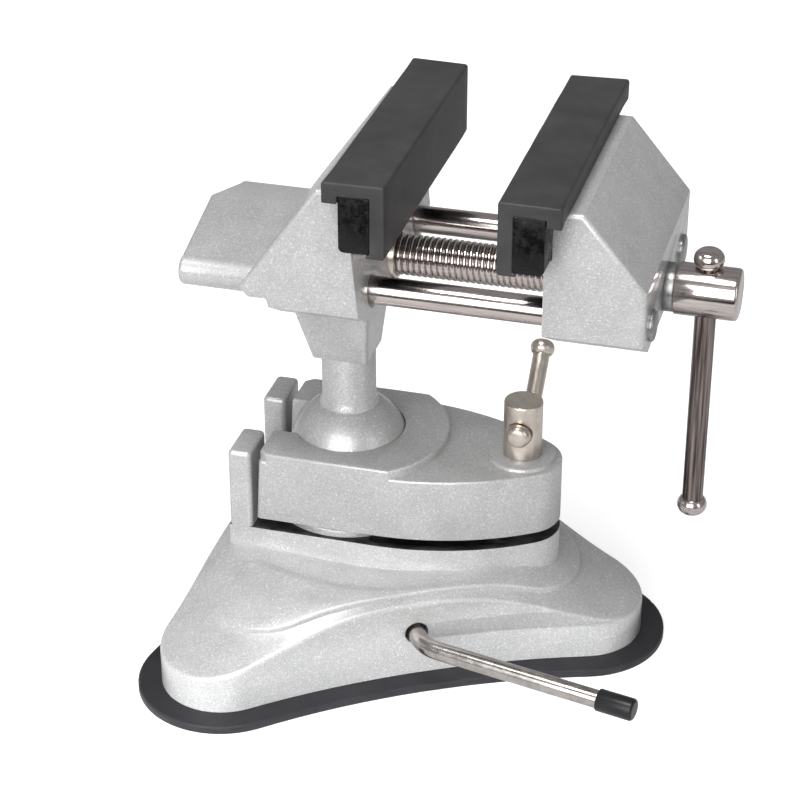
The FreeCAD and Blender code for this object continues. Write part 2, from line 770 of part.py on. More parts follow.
def make_fixed_jaw():
    front_at_axis = fixed_front_at(axis_height)
    heel_height = axis_height + fixed_heel_over_axis
    keel_height = axis_height + fixed_keel_over_axis
    profile = [
        (fixed_front, belly),
        (fixed_front - fixed_front_lean, plate_bottom),
        (saddle_x, plate_bottom),
        (saddle_x, saddle_top),
        (fixed_crest, saddle_top),
        (fixed_heel, heel_height),
        (fixed_heel + 2, keel_height),
        (fixed_keel, keel_height),
        (fixed_keel + 2, belly),
    ]
    body = across(profile, fixed_half_width)
    body = rounded(
        body, casting_edge,
        lambda m, e: (
            abs(m.y) > fixed_half_width - 0.1 and m.x < saddle_x - 0.1 and m.z > keel_height
        ),
    )
    body = with_belly_chamfers(body, fixed_half_width, fixed_keel - 10, fixed_front + 1)
    body = body.fuse(make_tail()).fuse(make_neck_block())
    for side in (-1, 1):
        bore = rod(
            rod_radius + running_gap,
            V(tail_end - 1, side * rod_y, axis_height), V(fixed_front + 1, side * rod_y, axis_height),
        )
        mouth = Part.makeCone(
            rod_radius, rod_radius + 2 * bore_mouth, 2 * bore_mouth,
            V(front_at_axis - bore_mouth, side * rod_y, axis_height), ALONG_X,
        )
        body = body.cut(bore).cut(mouth)
    axis = V(0, 0, axis_height)
    body = body.cut(rod(screw_radius + free_gap, axis + V(tail_end - 1, 0, 0), axis + V(fixed_front, 0, 0)))
    nut_back = front_at_axis - nut_length
    body = body.cut(rod(nut_radius, axis + V(nut_back, 0, 0), axis + V(fixed_front + 1, 0, 0)))
    body = body.cut(rod(
        spigot_radius + running_gap, V(0, 0, stem_top - 1), V(0, 0, stem_top + spigot_length + free_gap)
    ))
    for side in (-1, 1):
        start = plate_screw_axis(side)
        body = body.cut(rod(plate_screw_radius, start - ALONG_X * plate_screw_length, start + ALONG_X))
    return moved(body.removeSplitter(), ball_x)


def make_moving_jaw():
    back_of_plate = 2 * mirror_x - saddle_x
    crest = back_of_plate + moving_crest_length
    profile = [
        (moving_front + moving_toe, belly),
        (moving_front, belly + moving_toe),
        (moving_front, plate_bottom),
        (back_of_plate, plate_bottom),
        (back_of_plate, saddle_top),
        (crest, saddle_top),
        (moving_rear, axis_height + moving_shoulder_over_axis),
        (moving_rear, belly),
    ]
    body = across(profile, moving_half_width)
    body = rounded(
        body, casting_edge,
        lambda m, e: (
            abs(m.y) > moving_half_width - 0.1 and m.x > back_of_plate + 0.1 and m.z > belly + 0.1
        ),
    )
    body = with_belly_chamfers(body, moving_half_width, moving_front - 1, moving_rear + 1)
    for side in (-1, 1):
        bore = rod(
            rod_radius,
            V(moving_front - 1, side * rod_y, axis_height), V(moving_rear + 1, side * rod_y, axis_height),
        )
        body = body.cut(bore)
    axis = V(0, 0, axis_height)
    body = body.cut(rod(
        screw_radius + running_gap, axis + V(moving_front - 1, 0, 0), axis + V(moving_rear + 1, 0, 0)
    ))
    body = body.cut(rod(
        screw_clip_radius + free_gap, axis + V(moving_front - 1, 0, 0),
        axis + V(moving_front + screw_clip_recess, 0, 0),
    ))
    for side in (-1, 1):
        start = plate_screw_axis(side)
        start = V(2 * mirror_x - start.x, start.y, start.z)
        body = body.cut(rod(plate_screw_radius, start - ALONG_X, start + ALONG_X * plate_screw_length))
    return moved(body.removeSplitter(), ball_x)


# ---------------------------------------------------------------- jaw plates and covers
def fixed_plate():
    plate = box(
        saddle_x, saddle_x + plate_thickness, -jaw_width / 2, jaw_width / 2, plate_bottom, plate_top
    )
    plate = rounded(plate, plate_corner, lambda m, e: m.z < plate_bottom + 0.1 and abs(m.y) < 1)
    for side in (-1, 1):
        start = plate_screw_axis(side)
        face = start + ALONG_X * plate_thickness
        sink = plate_screw_head_radius - plate_screw_radius
        plate = plate.cut(rod(plate_screw_radius, start - ALONG_X, face))
        plate = plate.cut(Part.makeCone(
            plate_screw_radius, plate_screw_head_radius, sink, face - ALONG_X * sink, ALONG_X
        ))
    return plate


def fixed_plate_screws():
    screws = []
    sink = plate_screw_head_radius - plate_screw_radius
    for side in (-1, 1):
        start = plate_screw_axis(side)
        face = start + ALONG_X * plate_thickness
        shank = rod(plate_screw_radius, start - ALONG_X * plate_screw_length, face - ALONG_X * sink)
        head = Part.makeCone(
            plate_screw_radius, plate_screw_head_radius, sink, face - ALONG_X * sink, ALONG_X
        )
        screws.append(shank.fuse(head).removeSplitter())
    return Part.makeCompound(screws)


def fixed_cover():
    """Rubber channel that hooks over the jaw plate."""
    inner_front = pad_face - cover_wall
    skirt = plate_bottom - cover_skirt
    profile = [
        (saddle_x - cover_lip, saddle_top),
        (saddle_x - cover_lip, jaw_top),
        (pad_face, jaw_top),
        (pad_face, skirt),
        (inner_front - cover_foot, skirt),
        (inner_front - cover_foot, plate_bottom),
        (inner_front, plate_bottom),
        (inner_front, plate_top),
        (saddle_x, plate_top),
        (saddle_x, saddle_top),
    ]
    cover = across(profile, jaw_width / 2)
    return rounded(
        cover, 0.9,
        lambda m, e: abs(m.y) < 1 and (m.z > jaw_top - 0.1 or (m.x > pad_face - 0.1 and m.z < skirt + 0.1)),
    )


# ---------------------------------------------------------------- rods, screw and handle
def make_guide_rod(side):
    axis = V(ball_x, side * rod_y, axis_height)
    bar = rod(rod_radius, axis + V(rod_back_end, 0, 0), axis + V(moving_rear, 0, 0))
    bar = bar.makeChamfer(0.8, edges_where(bar, lambda m, e: m.x < ball_x + rod_back_end + 0.1))
    rivet = rod(rivet_radius, axis + V(moving_rear, 0, 0), axis + V(moving_rear + rivet_height, 0, 0))
    rivet = rounded(rivet, rivet_height * 0.8, lambda m, e: m.x > axis.x + moving_rear + rivet_height - 0.1)
    return bar.fuse(rivet).removeSplitter()


def make_lead_nut():
    axis = V(ball_x, 0, axis_height)
    front = axis + V(fixed_front_at(axis_height), 0, 0)
    return tube_ring(
        nut_radius, screw_radius + running_gap, front - ALONG_X * nut_length, front + ALONG_X * nut_reveal
    )


def screw_clip_x():
    return ball_x + moving_front + screw_clip_recess - screw_clip_thickness - free_gap


def make_lead_screw():
    axis = V(0, 0, axis_height)
    start = ball_x + screw_back_end
    head_start = ball_x + screw_seat
    head_end = head_start + screw_head_length
    shaft = rod(screw_radius, axis + V(start, 0, 0), axis + V(head_start, 0, 0))
    shaft = shaft.makeChamfer(1.0, edges_where(shaft, lambda m, e: m.x < start + 0.1))
    head = rod(screw_head_radius, axis + V(head_start, 0, 0), axis + V(head_end, 0, 0))
    head = rounded(head, 0.8, lambda m, e: m.x > head_end - 0.1)
    middle = axis + V(head_start + handle_offset, 0, 0)
    half_hole = UP * (screw_head_radius + 1)
    hole = rod(handle_radius + running_gap, middle - half_hole, middle + half_hole)
    clip_x = screw_clip_x()
    groove = tube_ring(
        screw_radius + 1, screw_radius - clip_groove,
        axis + V(clip_x, 0, 0), axis + V(clip_x + screw_clip_thickness, 0, 0),
    )
    return shaft.fuse(head).cut(hole).cut(groove).removeSplitter()


def make_screw_clip():
    axis = V(0, 0, axis_height)
    clip_x = screw_clip_x()
    return tube_ring(
        screw_clip_radius, screw_radius - clip_groove,
        axis + V(clip_x, 0, 0), axis + V(clip_x + screw_clip_thickness, 0, 0),
    )


def make_thrust_washer():
    axis = V(ball_x, 0, axis_height)
    return tube_ring(
        washer_radius, screw_radius, axis + V(moving_rear, 0, 0), axis + V(screw_seat, 0, 0)
    )


def handle_points():
    """Centres of the top and bottom knobs; the top one rests on the screw's head."""
    x = ball_x + screw_seat + handle_offset
    top = V(x, 0, axis_height + screw_head_radius + handle_knob_length / 2)
    return top, top - UP * handle_length


def make_handle_bar():
    top, bottom = handle_points()
    return rod(handle_radius, bottom, top)


def make_handle_knob(which):
    centre = handle_points()[which]
    aim = UP if which == 0 else UP * -1
    return knob(
        centre, aim, handle_knob_radius, handle_knob_face, handle_knob_length, handle_radius
    )


# ---------------------------------------------------------------- write every piece
def main():
    pieces = {
        "suction_pad": make_suction_pad(),
        "base_casting": make_base_casting(),
        "lift_stud": make_lift_stud(),
        "suction_lever": make_suction_lever(),
        "lever_clip": make_lever_clip(),
        "lever_grip": make_lever_grip(),
        "clamp_plate": make_clamp_plate(),
        "clamp_screw": make_clamp_screw(),
        "clamp_bar": make_clamp_bar(),
        "clamp_bar_knobs": make_clamp_bar_knobs(),
        "ball": make_ball(),
        "stem": make_stem(),
        "fixed_jaw": make_fixed_jaw(),
        "fixed_jaw_plate": moved(fixed_plate(), ball_x),
        "fixed_jaw_cover": moved(fixed_cover(), ball_x),
        "fixed_plate_screws": moved(fixed_plate_screws(), ball_x),
        "lead_nut": make_lead_nut(),
        "moving_jaw": make_moving_jaw(),
        "moving_jaw_plate": moved(to_moving_side(fixed_plate()), ball_x),
        "moving_jaw_cover": moved(to_moving_side(fixed_cover()), ball_x),
        "moving_plate_screws": moved(to_moving_side(fixed_plate_screws()), ball_x),
        "near_guide_rod": make_guide_rod(-1),
        "far_guide_rod": make_guide_rod(1),
        "lead_screw": make_lead_screw(),
        "screw_clip": make_screw_clip(),
        "thrust_washer": make_thrust_washer(),
        "handle_bar": make_handle_bar(),
        "handle_top_knob": make_handle_knob(0),
        "handle_bottom_knob": make_handle_knob(1),
    }
    os.makedirs("parts", exist_ok=True)
    for name, shape in pieces.items():
        shape.exportStep(f"parts/{name}.step")
        b = shape.BoundBox
        print(
            f"{name:20s} solids {len(shape.Solids)} valid {shape.isValid()} volume {shape.Volume:9.1f}"
            f"  x {b.XMin:6.1f} {b.XMax:6.1f}  y {b.YMin:6.1f} {b.YMax:6.1f}  z {b.ZMin:6.1f} {b.ZMax:6.1f}"
        )


main()
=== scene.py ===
# %% [markdown]
# # Dressing a suction base vise
#
# The model that this lesson starts from already has every piece at its real size: castings, rods,
# screws, jaws and the rubber foot.  Here each piece gets the surface that the real one has, and the
# pieces whose charm is in their detail, such as the threaded screw and the moulded rubber covers,
# are modelled again by hand.

# %% Load the fixed frame
import json
import math

import bpy
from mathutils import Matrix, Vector

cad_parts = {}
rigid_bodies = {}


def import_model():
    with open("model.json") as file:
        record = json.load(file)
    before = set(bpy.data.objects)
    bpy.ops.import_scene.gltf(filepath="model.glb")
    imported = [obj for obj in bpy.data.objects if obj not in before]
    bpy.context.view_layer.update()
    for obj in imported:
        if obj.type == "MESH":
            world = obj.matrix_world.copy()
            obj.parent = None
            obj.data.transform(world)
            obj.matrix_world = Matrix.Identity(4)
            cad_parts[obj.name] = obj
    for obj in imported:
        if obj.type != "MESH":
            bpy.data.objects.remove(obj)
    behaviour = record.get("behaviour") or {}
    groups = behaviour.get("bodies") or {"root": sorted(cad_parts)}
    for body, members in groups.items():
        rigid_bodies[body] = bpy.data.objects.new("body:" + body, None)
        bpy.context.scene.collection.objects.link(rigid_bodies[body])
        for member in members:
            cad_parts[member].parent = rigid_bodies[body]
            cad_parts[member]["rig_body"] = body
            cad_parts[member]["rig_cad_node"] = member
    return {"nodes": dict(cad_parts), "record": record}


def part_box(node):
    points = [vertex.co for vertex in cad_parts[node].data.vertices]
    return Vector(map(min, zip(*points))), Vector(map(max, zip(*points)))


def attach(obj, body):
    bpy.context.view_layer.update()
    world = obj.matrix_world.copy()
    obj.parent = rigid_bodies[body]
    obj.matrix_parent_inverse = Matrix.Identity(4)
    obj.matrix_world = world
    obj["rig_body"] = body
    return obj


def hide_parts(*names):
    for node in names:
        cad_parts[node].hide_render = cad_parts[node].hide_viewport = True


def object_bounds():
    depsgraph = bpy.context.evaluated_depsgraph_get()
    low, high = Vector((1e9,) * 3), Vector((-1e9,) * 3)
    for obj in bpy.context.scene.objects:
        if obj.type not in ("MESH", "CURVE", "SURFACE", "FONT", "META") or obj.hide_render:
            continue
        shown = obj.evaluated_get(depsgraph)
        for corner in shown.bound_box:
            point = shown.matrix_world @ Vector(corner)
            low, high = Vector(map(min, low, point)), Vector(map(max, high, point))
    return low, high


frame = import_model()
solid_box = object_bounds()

MM = 0.001
print("whole part, mm:", [round((b - a) / MM, 1) for a, b in zip(*solid_box)])

# %% [markdown]
# ## Where things are
#
# A place is never typed twice.  The box of each solid piece tells where its axis, its face or its
# end lies, so a few named places are read from the boxes, and every new piece is set against them.

# %% Read the main places from the solids
def box_of(node):
    """Lowest and highest corner of a solid piece, as two vectors in metres."""
    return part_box(node)


def centre_of(node):
    """Middle of a solid piece's box, as a vector in metres."""
    low, high = box_of(node)
    return (low + high) / 2


screw_low, screw_high = box_of("lead_screw")
screw_axis_z = centre_of("thrust_washer").z
print("lead screw, mm:", round(screw_low.x / MM, 1), "to", round(screw_high.x / MM, 1))
print("lead screw axis, mm up:", round(screw_axis_z / MM, 1))

# %% [markdown]
# ## Two helpers for colour and nodes
#
# Colours are written as the hex values that a painter would pick from a swatch.  Blender works in
# linear light, so one function turns them over.  The other function adds a shader node with its
# settings and its links in one call, which keeps each finish short enough to read.

# %% Colour and node helpers
def linear(hex_colour):
    """An sRGB hex value as linear RGBA."""
    values = [int(hex_colour[i:i + 2], 16) / 255 for i in (1, 3, 5)]
    return tuple(v / 12.92 if v <= 0.04045 else ((v + 0.055) / 1.055) ** 2.4 for v in values) + (1.0,)


def add_node(tree, kind, settings=None, links=None):
    """Add a node, set its properties and input sockets, and link (node, output) pairs into it."""
    node = tree.nodes.new(kind)
    for key, value in (settings or {}).items():
        if isinstance(key, str) and hasattr(node, key):
            setattr(node, key, value)
        else:
            node.inputs[key].default_value = value
    for key, (source, output) in (links or {}).items():
        tree.links.new(source.outputs[output], node.inputs[key])
    return node


def new_finish(name, settings):
    """A material with one Principled shader; returns the material, its tree and the shader."""
    material = bpy.data.materials.new(name)
    material.use_nodes = True
    tree = material.node_tree
    shader = tree.nodes["Principled BSDF"]
    for key, value in settings.items():
        shader.inputs[key].default_value = value
    return material, tree, shader


def per_size(size_mm):
    """Scale of a pattern whose features are this many millimetres across, on Object coordinates."""
    return 1 / (size_mm * MM)


def colour_ramp(tree, source, output, stops):
    """A colour ramp from (position, hex colour) stops."""
    ramp = add_node(tree, "ShaderNodeValToRGB", None, {"Fac": (source, output)})
    elements = ramp.color_ramp.elements
    while len(elements) < len(stops):
        elements.new(0.5)
    for element, (position, colour) in zip(elements, stops):
        element.position = position
        element.color = linear(colour)
    return ramp


print("mid grey in linear light:", round(linear("#808080")[0], 3))

# %% [markdown]
# ## Silver lacquer on die-cast aluminium
#
# The castings are sprayed with a silver lacquer: aluminium flakes in a varnish that stays clear on
# top.  It is half a mirror and half a paint.  Walls that face the lamp come out pale, tops that face
# the dim room come out darker, and every rounded edge catches a lamp as one bright line.  That calls
# for a shader that is part metallic, with a wide gloss, under a smooth clear coat that draws the
# bright lines.  A cell pattern gives each flake its own brightness, gloss and tilt, with one flake
# in twelve flashing.  The cells are 0.3 mm across, coarser than real flakes, because finer ones
# would not show.  A fine noise gives the orange peel of the sprayed coat.
#
# The faces that the clamp plate covers sit in the deep shade of the thin gap under it.  That shade is
# painted on, as a near-black finish of their own.

# %% Silver lacquer, and the painted shade under the clamp plate
def silver_lacquer():
    """Metal flakes in varnish: cells for the flakes, slow clouds for the spray, fine peel."""
    material, tree, shader = new_finish(
        "silver_lacquer", {"Metallic": 0.4, "IOR": 1.5, "Coat Weight": 0.75, "Coat Roughness": 0.09}
    )
    place = add_node(tree, "ShaderNodeTexCoord")
    flakes = add_node(
        tree, "ShaderNodeTexVoronoi", {"Scale": per_size(0.3)}, {"Vector": (place, "Object")}
    )
    flake = add_node(tree, "ShaderNodeSeparateColor", None, {"Color": (flakes, "Color")})
    glints = colour_ramp(
        tree, flake, "Red", [(0.0, "#aaaaaa"), (0.5, "#b5b5b5"), (0.92, "#c0c0c0"), (1.0, "#dadada")]
    )
    clouds = add_node(
        tree, "ShaderNodeTexNoise", {"Scale": per_size(9.0), "Detail": 4.0}, {"Vector": (place, "Object")}
    )
    coat = colour_ramp(tree, clouds, "Fac", [(0.3, "#f2f2f2"), (0.7, "#ffffff")])
    colour = add_node(
        tree, "ShaderNodeMix", {"data_type": "RGBA", "blend_type": "MULTIPLY", 0: 1.0},
        {6: (glints, "Color"), 7: (coat, "Color")},
    )
    tree.links.new(colour.outputs[2], shader.inputs["Base Color"])
    gloss = add_node(
        tree, "ShaderNodeMapRange", {"To Min": 0.38, "To Max": 0.5}, {"Value": (flake, "Green")}
    )
    tree.links.new(gloss.outputs["Result"], shader.inputs["Roughness"])
    peel = add_node(
        tree, "ShaderNodeTexNoise", {"Scale": per_size(0.5), "Detail": 2.0}, {"Vector": (place, "Object")}
    )
    coat_bump = add_node(
        tree, "ShaderNodeBump", {"Strength": 0.2, "Distance": 0.04 * MM}, {"Height": (peel, "Fac")}
    )
    flake_bump = add_node(
        tree, "ShaderNodeBump", {"Strength": 0.35, "Distance": 0.03 * MM},
        {"Height": (flake, "Blue"), "Normal": (coat_bump, "Normal")},
    )
    tree.links.new(flake_bump.outputs["Normal"], shader.inputs["Normal"])
    tree.links.new(coat_bump.outputs["Normal"], shader.inputs["Coat Normal"])
    return material


def painted_shade_casting():
    """Painted shade: near-black cast metal for the shadowed gap under the clamp plate, in blotches a few
    millimetres across.
    """
    material, tree, shader = new_finish("painted_shade_casting", {"Metallic": 0.3, "Roughness": 0.55})
    place = add_node(tree, "ShaderNodeTexCoord")
    blotches = add_node(
        tree, "ShaderNodeTexNoise", {"Scale": per_size(4.0), "Detail": 5.0}, {"Vector": (place, "Object")}
    )
    # painted shade: these near-black tones stand in for the shadow in the gap under the clamp plate
    shade_tone = colour_ramp(tree, blotches, "Fac", [(0.35, "#1c1c1e"), (0.7, "#3c3c3e")])
    tree.links.new(shade_tone.outputs["Color"], shader.inputs["Base Color"])
    return material


# %% [markdown]
# ## Plated steel
#
# Rods, screws and bars are drawn steel, plated with nickel and chrome.  Drawing and polishing leave
# faint lines along each bar, which blur its reflections unevenly and tint them a little.  All of
# the plated finishes are one recipe: full metal, with a noise that is stretched along the bar.
# The rods mirror the room, the handle is a darker and more worn chrome, and the clamp screw is only
# barrelled, so it is satin and a little warm.  The lever is the same nickel, polished by hands.

# %% Plated finishes
def plated_steel(name, dark, light, roughness, marks, stretch, mark_mm=0.5):
    """Plated bar stock.  marks varies the gloss, and stretch squeezes the pattern along the bar."""
    material, tree, shader = new_finish(name, {"Metallic": 1.0})
    place = add_node(tree, "ShaderNodeTexCoord")
    drawn = add_node(tree, "ShaderNodeMapping", {"Scale": stretch}, {"Vector": (place, "Object")})
    lines = add_node(
        tree, "ShaderNodeTexNoise", {"Scale": per_size(mark_mm), "Detail": 4.0},
        {"Vector": (drawn, "Vector")},
    )
    tint = colour_ramp(tree, lines, "Fac", [(0.35, dark), (0.65, light)])
    tree.links.new(tint.outputs["Color"], shader.inputs["Base Color"])
    gloss = add_node(
        tree, "ShaderNodeMapRange",
        {"From Min": 0.3, "From Max": 0.7, "To Min": roughness - marks, "To Max": roughness + marks},
        {"Value": (lines, "Fac")},
    )
    tree.links.new(gloss.outputs["Result"], shader.inputs["Roughness"])
    bump = add_node(
        tree, "ShaderNodeBump", {"Strength": 0.15, "Distance": 0.01 * MM}, {"Height": (lines, "Fac")}
    )
    tree.links.new(bump.outputs["Normal"], shader.inputs["Normal"])
    return material


along_x = (0.04, 1.0, 1.0)
along_z = (1.0, 1.0, 0.03)
all_round = (1.0, 1.0, 1.0)


def bright_chrome():
    return plated_steel("bright_chrome", "#b3a9a6", "#cbc3c0", 0.15, 0.05, along_x)


def dark_chrome():
    return plated_steel("dark_chrome", "#3d3533", "#968b88", 0.17, 0.07, along_z, 0.9)


def satin_nickel():
    return plated_steel("satin_nickel", "#cbc1b7", "#d8cfc6", 0.34, 0.04, all_round, 2.5)


def polished_nickel():
    return plated_steel("polished_nickel", "#aaa5a1", "#bfbab6", 0.19, 0.03, all_round, 2.5)


def zinc_plate():
    return plated_steel("zinc_plate", "#8f8f90", "#a7a6a5", 0.36, 0.06, all_round, 1.2)


# %% [markdown]
# ## Rubber, vinyl and enamel
#
# The soft parts are moulded black rubber.  Handled rubber is never black to the eye: it is a dark
# grey with a dull bloom, so its colour wanders slowly and its gloss is low.  The steel jaw plates
# under the covers are dipped in black enamel, which is glossy and is scuffed where the covers rub.

# %% Soft and enamelled finishes
def moulded_rubber(name, dark, light, roughness, grain_mm):
    """Matte moulded rubber with a slow bloom and a fine moulded grain."""
    material, tree, shader = new_finish(name, {"Roughness": roughness, "Specular IOR Level": 0.3})
    place = add_node(tree, "ShaderNodeTexCoord")
    bloom = add_node(
        tree, "ShaderNodeTexNoise", {"Scale": per_size(14.0), "Detail": 5.0, "Roughness": 0.65},
        {"Vector": (place, "Object")},
    )
    ramp = colour_ramp(tree, bloom, "Fac", [(0.32, dark), (0.68, light)])
    tree.links.new(ramp.outputs["Color"], shader.inputs["Base Color"])
    grain = add_node(
        tree, "ShaderNodeTexNoise", {"Scale": per_size(grain_mm), "Detail": 2.0},
        {"Vector": (place, "Object")},
    )
    bump = add_node(
        tree, "ShaderNodeBump", {"Strength": 0.25, "Distance": 0.03 * MM}, {"Height": (grain, "Fac")}
    )
    tree.links.new(bump.outputs["Normal"], shader.inputs["Normal"])
    return material


def cover_rubber():
    return moulded_rubber("cover_rubber", "#2d2d2e", "#39393a", 0.5, 0.35)


def pad_rubber():
    return moulded_rubber("pad_rubber", "#1c1b1e", "#27262a", 0.45, 0.5)


def dipped_vinyl():
    return moulded_rubber("dipped_vinyl", "#131315", "#1c1d1f", 0.32, 0.6)


def black_enamel():
    """Glossy dipped enamel, with scuffs about 2 mm long where it is duller and paler."""
    material, tree, shader = new_finish("black_enamel", {"Specular IOR Level": 0.28})
    place = add_node(tree, "ShaderNodeTexCoord")
    rubs = add_node(
        tree, "ShaderNodeTexNoise", {"Scale": per_size(2.2), "Detail": 6.0, "Roughness": 0.7},
        {"Vector": (place, "Object")},
    )
    ramp = colour_ramp(tree, rubs, "Fac", [(0.6, "#080809"), (0.7, "#141416"), (0.8, "#606062")])
    tree.links.new(ramp.outputs["Color"], shader.inputs["Base Color"])
    gloss = add_node(
        tree, "ShaderNodeMapRange", {"From Min": 0.4, "From Max": 0.7, "To Min": 0.16, "To Max": 0.55},
        {"Value": (rubs, "Fac")},
    )
    tree.links.new(gloss.outputs["Result"], shader.inputs["Roughness"])
    return material


# painted shade for the faces in the gap under the clamp plate
painted_shade_metal = painted_shade_casting()
finishes = {
    "silver_casting": silver_lacquer(),
    "bright_chrome": bright_chrome(),
    "dark_chrome": dark_chrome(),
    "satin_steel": satin_nickel(),
    "plain_steel": zinc_plate(),
    "cover_rubber": cover_rubber(),
    "pad_rubber": pad_rubber(),
    "grip_vinyl": dipped_vinyl(),
    "black_plate": black_enamel(),
}
lever_metal = polished_nickel()
slot_of = {part["node"]: part["material_slot"] for part in frame["record"]["subparts"]}
print("finishes:", sorted(finishes))

# %% [markdown]
# ## Paint every solid
#
# Each solid already knows which finish it takes, because the record names a slot for it.  The
# finish is put on all of them first, so that nothing is ever left plain, and pieces that are
# modelled again later simply take over from theirs.

# %% Give each solid its finish
def paint(piece, slot_name):
    """One finish on the whole piece."""
    piece.data.materials.clear()
    piece.data.materials.append(finishes[slot_name])


body_of_node = {}
for body, members in frame["record"]["behaviour"]["bodies"].items():
    for member in members:
        body_of_node[member] = body
for node_name, solid in frame["nodes"].items():
    paint(solid, slot_of[node_name])
print("painted", len(frame["nodes"]), "solids")

# %% [markdown]
# ## Hands-on modelling helpers
#
# New pieces are made as by hand: add a primitive at its size and place, go into edit mode, pick
# faces by where they are, and extrude, inset or bevel them.  These helpers only wrap the clicks
# that come back for every piece: clear the selection, enter and leave edit mode, and pick.

# %% Selection and edit-mode helpers
def select_only(*pieces):
    """Deselect everything, then select these pieces; the last one is active."""
    bpy.ops.object.select_all(action="DESELECT")
    for piece in pieces:
        piece.select_set(True)
    bpy.context.view_layer.objects.active = pieces[-1] if pieces else None


def added(name):
    """Name the primitive that was just added and place it in its mesh."""
    piece = bpy.context.view_layer.objects.active
    piece.name = name
    bpy.ops.object.transform_apply(location=True, rotation=True, scale=True)
    return piece


def pick(piece, kind, test):
    """Select the faces, edges or vertices whose middle passes a test, from object mode."""
    mesh = piece.data
    for group in (mesh.polygons, mesh.edges, mesh.vertices):
        for item in group:
            item.select = False
    if kind == "FACE":
        for face in mesh.polygons:
            face.select = bool(test(face.center, face.normal))
    elif kind == "EDGE":
        for edge in mesh.edges:
            a, b = (mesh.vertices[i].co for i in edge.vertices)
            edge.select = bool(test((a + b) / 2, (b - a).normalized()))
    else:
        for vertex in mesh.vertices:
            vertex.select = bool(test(vertex.co, vertex.normal))
    bpy.ops.object.mode_set(mode="EDIT")
    bpy.ops.mesh.select_mode(type={"FACE": "FACE", "EDGE": "EDGE", "VERT": "VERT"}[kind])


def leave_edit():
    """Back to object mode, which writes the edits into the mesh."""
    bpy.ops.object.mode_set(mode="OBJECT")


def apply_all(piece):
    """Apply every modifier of a piece, in order."""
    select_only(piece)
    for modifier in list(piece.modifiers):
        bpy.ops.object.modifier_apply(modifier=modifier.name)


def soften(piece, width_mm, segments=3, angle=35.0):
    """Round the sharp edges of a piece and shade it smooth."""
    bevel = piece.modifiers.new("soft edges", "BEVEL")
    bevel.width = width_mm * MM
    bevel.segments = segments
    bevel.limit_method = "ANGLE"
    bevel.angle_limit = math.radians(angle)
    bevel.harden_normals = False
    apply_all(piece)
    bpy.ops.object.shade_smooth_by_angle(angle=math.radians(40))


def finish_piece(piece, node, *more_nodes):
    """Paint a new piece, let it ride on its node's body, and let it stand for the node."""
    paint(piece, slot_of[node])
    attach(piece, body_of_node[node])
    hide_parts(node, *more_nodes)
    low = [round(min(v.co[i] for v in piece.data.vertices) / MM, 1) for i in range(3)]
    high = [round(max(v.co[i] for v in piece.data.vertices) / MM, 1) for i in range(3)]
    print(f"{piece.name}: {len(piece.data.polygons)} faces, mm {low} to {high}")
    return piece


def copied(node, name):
    """A copy of a solid with its loose triangles welded into one skin and its flats merged."""
    source = frame["nodes"][node]
    piece = source.copy()
    piece.data = source.data.copy()
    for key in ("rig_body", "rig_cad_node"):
        if key in piece:
            del piece[key]
    piece.name = name
    piece.data.name = name
    piece.parent = None
    bpy.context.scene.collection.objects.link(piece)
    select_only(piece)
    bpy.ops.object.mode_set(mode="EDIT")
    bpy.ops.mesh.select_all(action="SELECT")
    bpy.ops.mesh.remove_doubles(threshold=0.002 * MM)
    bpy.ops.mesh.dissolve_limited(angle_limit=math.radians(0.6))
    leave_edit()
    if piece.data.has_custom_normals:
        bpy.ops.mesh.customdata_custom_splitnormals_clear()
    return piece


# %% [markdown]
# ## The castings
#
# A die casting has no knife edges: the lacquer flows back from each corner and leaves a thin bright
# line there.  The solids already have the big fillets.  The small ones are added here with a bevel
# a few tenths of a millimetre wide on every edge that is still sharp, and that line of light is
# what makes the shapes read.
#
# The ring that the clamp screw stands in is a cone in the solid.  Its side is made nearly upright
# first, by scaling its upper circle out and its lower circle in, so that the bevel finds an edge.

# %% Make the ring round the clamp screw steeper
def sharpen_screw_ring(casting):
    """Make the sloping side of the ring round the clamp screw nearly upright."""
    centre = centre_of("clamp_screw")

    def from_screw_mm(point):
        """Distance from the clamp screw's axis, seen from above."""
        return Vector((point.x - centre.x, point.y)).length / MM

    ring_top = max(v.co.z for v in casting.data.vertices if 8 < from_screw_mm(v.co) < 9)
    for below_mm, radius_mm, factor in ((0.0, 8.5, 1.15), (1.3, 10.5, 0.945)):
        level = ring_top - below_mm * MM
        pick(
            casting, "VERT",
            lambda co, n: abs(co.z - level) < 0.02 * MM and abs(from_screw_mm(co) - radius_mm) < 0.2,
        )
        bpy.ops.transform.resize(value=(factor, factor, 1), center_override=(centre.x, 0, ring_top))
        leave_edit()
        moved = sum(v.select for v in casting.data.vertices)
        print("circle at, mm:", round(level / MM, 1), "points moved:", moved)


# %% Soften the castings' edges
casting_edges_mm = {
    "base_casting": 0.35,
    "clamp_plate": 0.35,
    "fixed_jaw": 0.45,
    "moving_jaw": 0.45,
    "stem": 0.3,
}
for node_name, width in casting_edges_mm.items():
    casting = copied(node_name, node_name + "_cast")
    if node_name == "clamp_plate":
        sharpen_screw_ring(casting)
    soften(casting, width, segments=2)
    finish_piece(casting, node_name)

ball_skin = copied("ball", "ball_cast")
bpy.ops.object.shade_smooth()
finish_piece(ball_skin, "ball")

# %% [markdown]
# The foot's pedestal is a deck with a sunk pocket, and only a thin gap under the clamp plate shows
# them, in deep shade.  That shade is painted on their faces as a dark finish.  Their faces are picked
# by height and by which way they face: level faces at the deck and at the pocket's floor, and upright
# faces between the two that look inwards.  The pedestal's outer walls reach the same heights but
# look outwards, so they keep their lacquer.

# %% Darken the faces that the clamp plate covers, as painted shade
deck_low_mm, deck_high_mm = 34.4, 36.8
pocket_floor_low_mm, pocket_floor_high_mm = 27.0, 28.5
pocket_wall_low_mm = 27.4
pocket_length_mm = 48
pocket_half_width_mm = 20.8


